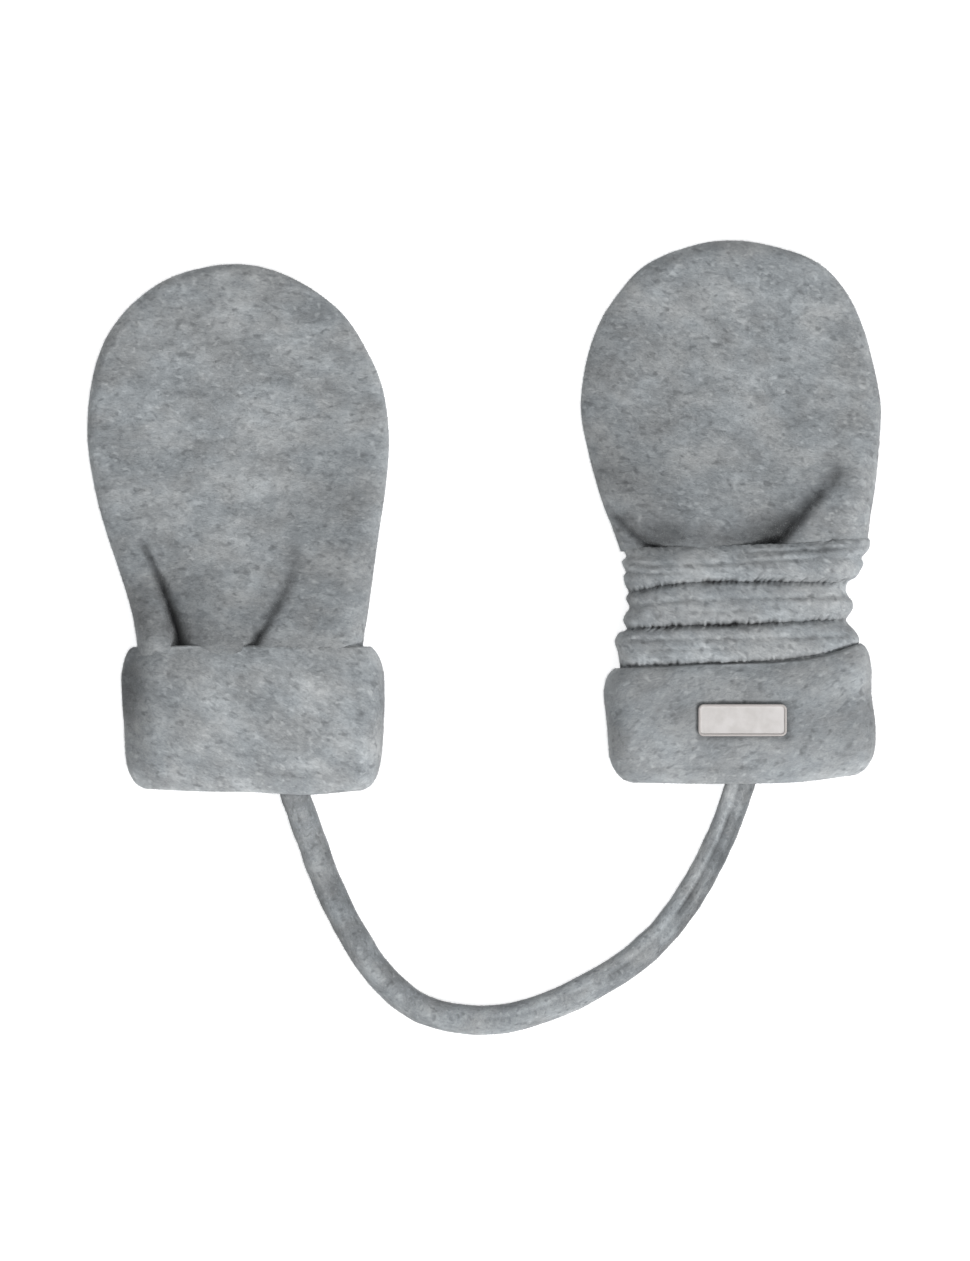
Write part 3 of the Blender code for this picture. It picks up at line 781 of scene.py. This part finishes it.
def tuckRim(bm, columns, depth):
    # turns the seam allowance in along the sides and the tip, but not at the wrist
    bm.verts.ensure_lookup_table()
    first = set(bm.verts[:columns + 1])
    rim = [e for e in bm.edges if e.is_boundary and not set(e.verts) <= first]
    inward = {}
    middle = sum((v.co.xy for v in bm.verts), Vector((0, 0))) / len(bm.verts)
    for vert in {v for e in rim for v in e.verts}:
        ends = [e.other_vert(vert).co.xy for e in vert.link_edges if e in rim]
        along = (ends[0] - (ends[1] if len(ends) > 1 else vert.co.xy)).normalized()
        way = Vector((-along.y, along.x))
        way *= math.copysign(1, way.dot(middle - vert.co.xy))
        inward[vert.co.to_tuple(7)] = way.to_3d()
    counts = len(bm.verts), len(bm.edges), len(bm.faces)
    made = bmesh.ops.extrude_edge_only(bm, edges=rim)["geom"]
    for vert in (v for v in made if isinstance(v, bmesh.types.BMVert)):
        vert.co += inward[vert.co.to_tuple(7)] * depth * mm
    sortAdded(bm, counts)


def makeHand(side, part):
    hand = hands[side]
    back = part == "back"
    grid = handCloth["grid"][part]
    points, dark = handPoints(hand, grid, back)
    bm = clothGrid(points, {"paintedShadeAndSpeck": dark}, joined=False)
    if not back:
        bmesh.ops.reverse_faces(bm, faces=bm.faces)
    tuckRim(bm, grid[0], handCloth["tuck"])
    name = f"{side}{part.capitalize()}Cloth"
    piece = finishPiece(name, bm, hand["material"], [f"{side}_{part}"])
    wall = piece.modifiers.new("wall", "SOLIDIFY")
    wall.thickness = handCloth["wall"] * mm
    wall.offset = -1
    hairs = addFuzz(piece, handCloth["hairs"][part], hand["seed"])


for side in hands:
    for part in ("back", "palm"):
        makeHand(side, part)
        print(side, part, "done")


# a ring of cloth goes over the top and back underneath, as the cuffs and the wrist do
ring = {
    "top": 150,  # how many faces over the top
    "under": 90,  # and underneath
    "pillow": 0.3,
    "underEdge": 5,
    "calm": 6,  # how far in from its sides it is fully uneven
    "lowest": 0.02,
}


def ringPlaces():
    # places over the top from left to right, then back underneath to the start
    top = across(ring["top"])
    under = -across(ring["under"])[1:]
    over = np.concatenate([np.ones(len(top)), np.zeros(len(under) - 1), [1]])
    return np.concatenate([top, under])[None, :], over.astype(bool)[None, :]


def topHeight(u, inward, seam, crown, edge):
    return seam + (crown - ring["pillow"] * u**2 - seam) * quarter(inward / edge)


def underHeight(inward, seam, under):
    return seam - (seam - under) * quarter(inward / ring["underEdge"])


def makeRing(name, place, dark, material, node):
    # closes the ring both ways and keeps it on the table
    place[:, -1] = place[:, 0]
    place[-1] = place[0]
    place[..., 2] = np.maximum(place[..., 2], ring["lowest"])
    bm = clothGrid(place, {"paintedShadeAndSpeck": dark})
    return finishPiece(name, bm, material, [node])


leftCuff = {
    "hemX": (-98, -27),
    "foldX": (-96.8, -27.4),
    "hemY": (-35, -34.6, -34.6, -34.7, -34.9),
    "foldY": (-73.3, -74, -74.2, -74.9, -73.7),
    # how far the ends stand out of the straight line, at even steps from the hem
    "leftOut": (0, 0.1, 0, -0.3, -0.2, 0.1),
    "rightOut": (0, 0.2, 0.3, 0.1, -0.2, 0.1),
    "edges": (7.5, 6.5),  # how far in the top rounds over, left and right
    "facet": (3.8, 9),  # drop of the slope at the left end, and its width
    "shades": [
        (-96.5, -44, 5, 14, 0, 0.56), (-85, -47, 13, 14, 0, 0.19),
        (-88, -65, 10, 9, 0, 0.17), (-27.5, -54, 2.4, 18, 0, 0.38),
    ],
    "cut": (148, 72),  # all round, and down both layers
    "seed": 61,
    "material": cuffFleeceLeft,
}
rightCuff = {
    "hemX": (31.8, 104.9),
    "foldX": (34.2, 105.4),
    "hemY": (-40.8, -40.3, -39.8, -39.4, -39, -37.5, -34),
    "foldY": (-71.6, -71.9, -71.9, -71.5, -69.6),
    "leftOut": (0.1, 0.1, -0.1, -0.2, 0, 0),
    "rightOut": (0.2, -0.4, -0.6, 0.3, 0.4, 0),
    "edges": (7.5, 6.5),
    "facet": (0, 6),
    "shades": [
        (100, -57, 8, 10, 0, 0.2), (105, -55, 2.4, 16, 0, 0.24),
        (69, -54.5, 46, 10, 0, 0.17), (33.5, -55, 4, 15, 0, 0.1),
        # a real speck of dark thread, not shade
        (86.3, -69.6, 0.6, 0.5, 0, 0.6),
    ],
    "cut": (150, 62),
    "seed": 74,
    "material": cuffFleeceRight,
}
cuffs = {"left": leftCuff, "right": rightCuff}
cuffCloth = {
    "depth": 39,
    "height": 15.6,
    "middle": 7.8,
    "outer": 2.4,  # less inset than this is the outer face
    "steps": {"outer": 0.5, "hidden": 1.4},
    "uneven": ((24, 0.28), (8, 0.1), (2.2, 0.045)),
    "settle": 0.15,
    "wander": (13, 0.22),
    "hairs": 9500,
}
# distance from the hem, inset from the outer face, and how much further the sides
# come in; down the outer face, round the fold, up inside and back between the layers
cuffSection = [
    (0, 2.4, 1.2), (0.5, 2.1, 0.8), (1.6, 1.6, 0.4), (3.6, 0.95, 0.1), (6.5, 0.35, 0),
    (10, 0, 0), (23, 0, 0), (27, 0.35, -0.3), (30.5, 1.05, -0.8), (34.2, 2.15, -1.1),
    (37.4, 3.4, -0.5), (39, 4.7, 0.9), (38.5, 5.5, 1.4), (36.8, 6.2, 0.6), (32, 5.7, 0.1),
    (18, 5.2, 0.6), (6, 5.2, 2), (6, 2.9, 2), (18, 2.8, 0.6), (31, 3.2, 0), (35, 4.2, 0.4),
    (36, 4, 0.6), (34.8, 3.6, 0.2), (31, 2.8, 0), (14, 2.4, 0), (4, 2.8, 0.2), (1.6, 2.95, 0.6),
    (0.5, 2.9, 0.9),
]
# a bare satin patch with a raised rim
label = {
    "centre": (69.5, -54.7),
    "size": (23.8, 8.6),
    "corner": 1.5,
    "thick": 0.9,
    "rim": 0.5,
    "recess": 0.28,
    "sunk": 0.25,
    "bed": (0.55, 1),  # depth and width of the hollow that it lies in
    "shade": (0.35, 0.7),  # how dark the painted shadow round it is, and how far it reaches
    "soft": 0.2,
    "satin": ((0.6, 0.575, 0.56, 1), (0.68, 0.655, 0.645, 1)),
    "rimColour": (0.47, 0.44, 0.425, 1),
}


def sectionRows():
    # the section's rows at even steps, closer together on the outer face
    closed = np.vstack([cuffSection, cuffSection[:1]])
    line = smoothLine(closed, 10)
    step = np.linalg.norm(np.diff(line[:, :2], axis=0), axis=1)
    outer = (line[:-1, 1] < 2.3) | (line[:-1, 0] > 36.5)
    cost = step / np.where(outer, *cuffCloth["steps"].values())
    passed = np.concatenate([[0], np.cumsum(cost)])
    even = np.linspace(0, passed[-1], int(passed[-1]) + 1)
    return np.column_stack([np.interp(even, passed, column) for column in line.T])


def labelDistance(x, y):
    # distance outside the label's outline, and below 0 inside it
    outX = np.abs(x - label["centre"][0]) - label["size"][0] / 2
    outY = np.abs(y - label["centre"][1]) - label["size"][1] / 2
    outside = np.hypot(np.maximum(outX, 0), np.maximum(outY, 0))
    return outside + np.minimum(np.maximum(outX, outY), 0)


def makeCuff(side):
    cuff = cuffs[side]
    distance, inset, sideInset = sectionRows().T[..., None]
    u, over = ringPlaces()
    down = distance / cuffCloth["depth"]
    leftX, rightX = [
        hem * (1 - down) + fold * down for hem, fold in zip(cuff["hemX"], cuff["foldX"])
    ]
    leftX = leftX - smoothValue(cuff["leftOut"], down)
    rightX = rightX + smoothValue(cuff["rightOut"], down)
    half = (rightX - leftX) / 2
    x = (leftX + rightX) / 2 + u * (half - inset - sideInset)
    hem, fold = [smoothValue(cuff[key], (u + 1) / 2) for key in ("hemY", "foldY")]
    y = hem + (fold - hem) * down
    inward = (1 - np.abs(u)) * half
    drop, reach = cuff["facet"]
    drop = drop * softStep((u + 1) * half, reach)
    drop = drop * (1 - 0.55 * np.clip(down - 0.45, 0, 1) / 0.55)
    crown = cuffCloth["height"] - inset - drop * quarter(inward / 3)
    top = topHeight(u, inward, cuffCloth["middle"], crown, np.where(u < 0, *cuff["edges"]))
    z = np.where(over, top, underHeight(inward, cuffCloth["middle"], inset))
    place = np.stack([x, y, z], axis=-1)

    shown = np.clip((cuffCloth["outer"] - inset) * 2, 0, 1)
    outer = shown * over * quarter(inward / ring["calm"])
    uneven = waveSum(place, cuffCloth["uneven"], cuff["seed"])
    place[..., 2] += uneven * outer - cuffCloth["settle"] * outer
    place[..., 1] += waveSum(place, [cuffCloth["wander"]], cuff["seed"] + 3) * shown
    # painted shade on the outer face from the listed patches, such as the darker left end; the
    # right cuff's list also holds one real thread speck
    dark = blobs(cuff["shades"], x, y) * shown * over
    if side == "right":
        deep, wide = label["bed"]
        away = labelDistance(x, y)
        bed = np.where(away < 0, 1, bell(away, wide)) * outer
        place[..., 2] -= deep * bed
        # painted shadow round the label
        shade, wide = label["shade"]
        dark = dark + shade * bell(away, wide) * outer
    name = f"{side}CuffCloth"
    piece = makeRing(name, place, dark, cuff["material"], f"{side}_cuff")
    girth, deep = cuff["cut"]
    addFuzz(piece, cuffCloth["hairs"], cuff["seed"])


for side in cuffs:
    makeCuff(side)
    print(side, "cuff done")


wrist = {
    # at even steps along it: under, seam, crown in the valleys, edge
    "rows": [
        (0, 6.2, 9.2, 7), (0, 6.4, 10.9, 7), (0.4, 6.8, 11.2, 7), (1.8, 7.2, 11.8, 7),
        (2.8, 7.8, 12.4, 6.5), (2.8, 7.8, 12.8, 6),
    ],
    # y and x of its two ends, notched between the folds
    "leftEnd": [
        (-7.4, 36.6), (-9.2, 37.7), (-10.7, 38.4), (-11.9, 37.3), (-13.3, 37.6), (-14.8, 38.4),
        (-16, 37.7), (-18.2, 38.1), (-20.3, 39.1), (-22, 38.3), (-24.4, 39.3), (-26.2, 38.1),
        (-28, 37.6), (-30.3, 38.5), (-31.4, 36.3), (-33.6, 35.3), (-36.4, 36.1), (-39.8, 36.6),
        (-46, 37.2),
    ],
    "rightEnd": [
        (-3.8, 101.6), (-5, 102.4), (-6.2, 104.1), (-8.2, 104), (-9.6, 103.1), (-11, 101.9),
        (-12.6, 102.4), (-14.6, 101.4), (-16.2, 100.4), (-17.4, 98.3), (-19.6, 97.6),
        (-21.4, 98.3), (-23, 99.5), (-25, 99.3), (-27.4, 97.7), (-29, 98.4), (-31, 100.3),
        (-33.2, 101.2), (-36, 100.4), (-40, 99.9),
    ],
    # y of each line from its left end to its right end: the hand's seam, then by
    # turns a fold's middle groove and the valley after it, and the end in the cuff
    "shares": (0, 0.16, 0.34, 0.43, 0.61, 0.7, 0.85, 1),
    "lines": [
        (-8.3, -8, -7.5, -7, -5.4), (-12.7, -12.8, -12.3, -11.4, -10.6),
        (-20.2, -17.8, -17.4, -17.5, -17.6), (-23.9, -22.4, -22, -21.7, -21.3),
        (-30.2, -29.4, -28.9, -28.3, -27.4), (-33.3, -32.9, -32.7, -32.3, -31.8),
        (-40.2, -39.6, -39.2, -37.8, -34.6), (-45.6, -45.2, -44.7, -43.6, -39.8),
    ],
    # each fold: first line, last line, rise, groove
    "folds": [(0, 2, 1.2, 0.45), (2, 4, 1.4, 0.45), (4, 6, 1.5, 0.4)],
    # how strong the valley along each line is, at even steps from left to right
    "valleys": {
        0: (0.1, 0.35, 0.3, 0.15, 0),
        2: (0.35, 1, 1, 0.6, 0.45),
        4: (0.7, 1, 1, 0.6, 0.35),
        6: (0.6, 0.7, 0.55, 0.3, 0.2),
    },
    # short wrinkles: y at five places, depth, and the part of the width they cross
    "wrinkles": [
        ((-15.4, -15, -14.8, -14.6, -14.4), 0.45, -1.2, -0.35),
        ((-10.4, -10.2, -9.6, -8.6, -7.8), 0.35, -0.1, 1.2),
        ((-25.6, -25.5, -25.3, -25, -24.6), 0.3, -0.6, 0.3),
        ((-35.9, -35.6, -35.3, -35, -34.6), 0.25, -0.9, 0.1),
    ],
    "cut": (136, 47),  # all round, and along it before it was gathered
    "foldRows": 46,
    "endRows": 10,
    "innerRows": 12,
    "valley": (1, 0.85),  # how much deeper the valleys are, and how wide
    "ragged": (1, 0.19),  # size and reach of the valleys' ragged edges
    "grooveWidth": 0.7,
    "wrinkleWidth": 0.6,
    "wander": 0.2,  # how far grooves and wrinkles wander
    # how dark the painted shade gets in the grooves, the wrinkles and the valleys
    "dark": {"groove": 0.22, "wrinkle": 0.2, "valley": 0.76},
    "uneven": ((9, 0.12), (2.2, 0.06)),
    "rightEdge": 1.6,  # how much broader the right side rounds over
    "startLift": 2.2,  # how much higher its start is at the right
    "shades": [
        (42, -23, 12, 14, 0, 0.16), (37, -25, 4, 8, 0, 0.14), (99, -31, 3, 4, 0, 0.3),
    ],
    "inset": 1.7,
    "lift": 0.7,
    "hairs": 9500,
}


def wristRows():
    # shares of the wrist's length, closer together at both ends of each fold
    shares = wrist["shares"]
    t = (1 - np.cos(np.pi * np.arange(wrist["foldRows"]) / wrist["foldRows"])) / 2
    parts = [
        shares[first] + (shares[last] - shares[first]) * t
        for first, last, *_ in wrist["folds"]
    ]
    return np.concatenate(parts + [np.linspace(shares[-2], 1, wrist["endRows"])])


def endLine(points, y):
    line = smoothLine(points, 6)
    return np.interp(-y, -line[:, 0], line[:, 1])


def makeWrist():
    out = wristRows()
    share = np.concatenate([out, np.linspace(1, 0, wrist["innerRows"]), [0]])[:, None]
    inner = np.zeros_like(share)
    inner[len(out):-1] = 1
    u, over = ringPlaces()
    part = (u + 1) / 2
    line = smoothLine(wrist["rows"], 12)
    at = np.linspace(0, 1, len(line))
    under, seam, crown, edge = [np.interp(share, at, c) for c in line.T]
    crown = crown + wrist["startLift"] * np.clip(u, 0, 1) * np.clip(1 - share / 0.2, 0, 1)

    shares = wrist["shares"]
    lineY = np.stack([smoothValue(values, part[0]) for values in wrist["lines"]])
    y = np.stack([np.interp(share[:, 0], shares, column) for column in lineY.T], axis=1)
    rough = np.stack([u * 33 + 0 * share, 60.0 * over + 0 * share, 0 * y], axis=-1)
    left = endLine(wrist["leftEnd"], y[:, :1])
    right = endLine(wrist["rightEnd"], y[:, ring["top"]:ring["top"] + 1])
    half = (right - left) / 2

    rise, dark, dip, ragged = np.zeros((4, *y.shape))
    # painted shade in the grooves, the wrinkles and the valleys
    shade = wrist["dark"]
    for number, (first, last, tall, groove) in enumerate(wrist["folds"]):
        start, end = shares[first], shares[last]
        inside = np.clip((share - start) / (end - start), 0, 1)
        steep = 0.7 if first == 0 else 0.42
        roll = (np.sin(np.pi * inside) + 1e-9) ** np.where(inside < 0.5, steep, 0.42)
        uneven = 1 + 0.10 * waves(rough, 26, 81 + number)
        grooveY = lineY[first + 1][None, :] + wrist["wander"] * waves(rough, 5, 91 + number)
        dips = groove * bell(y - grooveY, wrist["grooveWidth"])
        dips = dips * np.clip(0.85 + 0.35 * waves(rough, 8, 85 + number), 0.15, 1.5)
        rise = rise + tall * roll * uneven - dips
        dark = np.maximum(dark, shade["groove"] * np.clip(dips, 0, 1))
    for number, (places, deep, start, end) in enumerate(wrist["wrinkles"]):
        wrinkleY = smoothValue(places, part) + wrist["wander"] * waves(rough, 6, 141 + number)
        fade = np.clip((u - start) * 4, 0, 1) * np.clip((end - u) * 4, 0, 1)
        dips = deep * fade * bell(y - wrinkleY, wrist["wrinkleWidth"])
        rise = rise - dips
        dark = np.maximum(dark, shade["wrinkle"] * np.clip(dips, 0, 1))
    # the valleys between the folds are deep and narrow, with ragged edges and painted shade
    # along them
    deep, wide = wrist["valley"]
    size, reach = wrist["ragged"]
    for number, strengths in wrist["valleys"].items():
        away = y - lineY[number][None, :]
        spots = 0.75 + 0.25 * waves(rough, 11, 101 + number)
        spots = spots + 0.50 * waves(rough, 1.3, 111 + number)
        spots = np.clip(spots, 0.15, 1.3) * smoothValue(strengths, part)
        edgeNoise = waves(rough, size, 121 + number)
        near = bell(away, wide * (1 + 0.25 * edgeNoise))
        dip = dip + deep * near * spots
        ragged = ragged + reach * edgeNoise * bell(away, 1.4)
        dark = np.maximum(dark, shade["valley"] * near * spots)
    # painted shade from the listed patches, weaker underneath
    soft = np.clip(blobs(wrist["shades"], left + (u + 1) * (right - left) / 2, y), 0, 0.5)
    dark = overlaid(dark, soft) * (1 - inner) * np.where(over, 1, 0.6)
    y = y + ragged * (1 - inner) * over

    inset = wrist["inset"] * inner
    inward = (1 - np.abs(u)) * half
    x = (left + right) / 2 + u * (half - inset)
    edge = edge * np.where(u < 0, 1, wrist["rightEdge"])
    top = topHeight(u, inward, seam, crown + (rise - dip) * (1 - inner) - inset, edge)
    lift = wrist["lift"] * (1 - np.clip(rise / 1.9, 0, 1)) * (share < shares[-2])
    bottom = underHeight(inward, seam, under + lift * (1 - inner) + inset)
    place = np.stack([x, y, np.where(over, top, bottom)], axis=-1)
    uneven = waveSum(place, wrist["uneven"], 131)
    place[..., 2] += uneven * over * (1 - inner) * quarter(inward / ring["calm"])
    piece = makeRing("rightWristCloth", place, dark, wristFleece, "right_wrist")
    girth, deep = wrist["cut"]
    addFuzz(piece, wrist["hairs"], 17)


makeWrist()
print("wrist done")


def labelMaterial():
    material, tree, shader = newMaterial("labelSatin")
    place = tree.nodes.new("ShaderNodeTexCoord").outputs["Object"]
    laid = mapped(tree, place, (0, 0, 0), 0, (1 / mm,) * 3)
    ribs = addNode(tree, "TexWave", {
        "Vector": laid, "Scale": 1.1, "Distortion": 0.4, "Detail": 1}, bands_direction="Y")
    wear = addNode(tree, "TexNoise", {"Vector": laid, "Scale": 0.35, "Detail": 3})
    wear = wear.outputs["Fac"]
    rim = addNode(tree, "Attribute", attribute_name="rim").outputs["Fac"]
    base = mixColour(tree, between(tree, wear, 0.35, 0.65), *label["satin"])
    colour = mixColour(tree, rim, base, label["rimColour"])
    rough = between(tree, wear, 0.3, 0.7, 0.5, 0.62)
    bump = addNode(tree, "Bump", {
        "Height": ribs.outputs["Fac"], "Strength": 0.5, "Distance": 0.06 * mm})
    fill(tree, shader, {"Base Color": colour, "Roughness": rough,
                        "Normal": bump.outputs[0], "Sheen Weight": 0.1})
    return material


def makeLabel():
    wide, tall = label["size"]
    bm = bmesh.new()
    bmesh.ops.create_grid(bm, x_segments=1, y_segments=1, size=0.5)
    bmesh.ops.scale(bm, vec=(wide * mm, tall * mm, 1), verts=bm.verts)
    bmesh.ops.bevel(
        bm, geom=bm.verts[:], offset=label["corner"] * mm, offset_type="OFFSET",
        affect="VERTICES", segments=6, profile=0.5, material=-1,
    )
    raised = bmesh.ops.extrude_face_region(bm, geom=bm.faces[:])["geom"]
    top = [f for f in raised if isinstance(f, bmesh.types.BMFace)]
    corners = [v for f in top for v in f.verts]
    bmesh.ops.translate(bm, vec=(0, 0, label["thick"] * mm), verts=corners)
    bmesh.ops.inset_region(bm, faces=top, thickness=label["rim"] * mm, depth=0)
    rim = bm.verts.layers.float.new("rim")
    for vert in bm.verts:
        vert[rim] = 1
    bmesh.ops.inset_region(bm, faces=top, thickness=0.25 * mm, depth=-label["recess"] * mm)
    for face in top:
        for vert in face.verts:
            vert[rim] = 0
    edges = [e for e in bm.edges if e.calc_face_angle(0) > math.radians(50)]
    bmesh.ops.bevel(
        bm, geom=edges, offset=label["soft"] * mm, affect="EDGES", segments=3,
        profile=0.5, material=-1,
    )
    x, y = label["centre"]
    bottom = cuffCloth["height"] - label["bed"][0] + label["sunk"]
    bmesh.ops.translate(bm, vec=(x * mm, y * mm, bottom * mm), verts=bm.verts)
    bmesh.ops.recalc_face_normals(bm, faces=bm.faces)
    piece = finishPiece("rightLabelPatch", bm, labelMaterial(), ["right_label"])
    piece.data.set_sharp_from_angle(angle=math.radians(40))


makeLabel()
print("label done")


studio = {
    "floor": 4,
    "surface": {"Base Color": (0.8, 0.8, 0.8, 1), "Roughness": 0.9,
                "Emission Color": (1, 1, 1, 1), "Emission Strength": 0.66},
    "top": {"place": (0.1, -0.1, 1.9), "size": 1.6, "power": 12},
    "key": {"place": (0.98, -0.98, 1.05), "size": 0.8, "power": 24.5},
    "sky": 0.25,
}


def addFloor():
    bm = bmesh.new()
    bmesh.ops.create_grid(bm, x_segments=1, y_segments=1, size=studio["floor"])
    material, tree, shader = newMaterial("floor")
    fill(tree, shader, studio["surface"])
    floor = addMesh("floor", bm, material)


def addLight(name, light):
    data = bpy.data.lights.new(name, "AREA")
    data.energy = light["power"]
    data.size = light["size"]
    lamp = addObject(name, data)
    lamp.location = light["place"]
    lamp.rotation_euler = (-lamp.location).to_track_quat("-Z", "Y").to_euler()
    lamp.visible_camera = False


addFloor()
addLight("topLight", studio["top"])
addLight("keyLight", studio["key"])
world = bpy.data.worlds.new("sky")
world.use_nodes = True
fill(world.node_tree, world.node_tree.nodes["Background"],
     {"Strength": studio["sky"], "Color": (1, 1, 1, 1)})
bpy.context.scene.world = world
bpy.context.scene.view_settings.view_transform = "Standard"
print("studio done")
